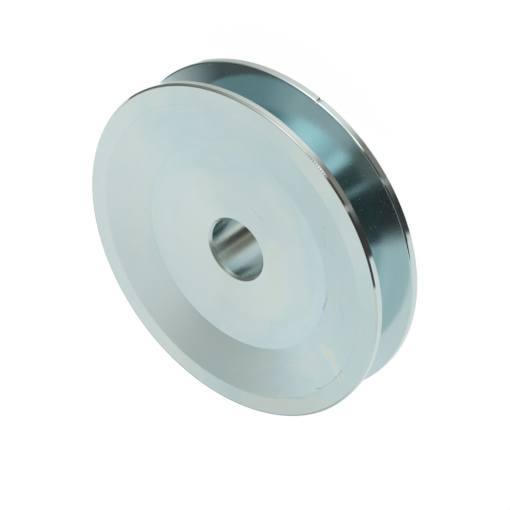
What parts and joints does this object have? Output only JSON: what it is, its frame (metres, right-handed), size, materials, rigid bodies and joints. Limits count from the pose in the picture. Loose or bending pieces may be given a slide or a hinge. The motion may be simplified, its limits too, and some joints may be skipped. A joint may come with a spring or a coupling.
{
  "type": "alternator pulley",
  "caption": "Turned steel V-belt pulley for an alternator: deep single groove, dished front face with a flat seat, and a plain bore through a low boss at the back.",
  "frame": {"origin": "on the bore's axis, in the plane of the boss's end face at the back", "axes": "+Z along the bore's axis, out of the dished front face; X and Y are any two directions across the round body"},
  "size_m": [0.096, 0.096, 0.0202],
  "materials": {
    "zinc_plated_steel": "turned steel, bright zinc plated with a pale blue passivation"
  },
  "bodies": {
    "root": {"pulley": "zinc_plated_steel"}
  },
  "joints": []
}
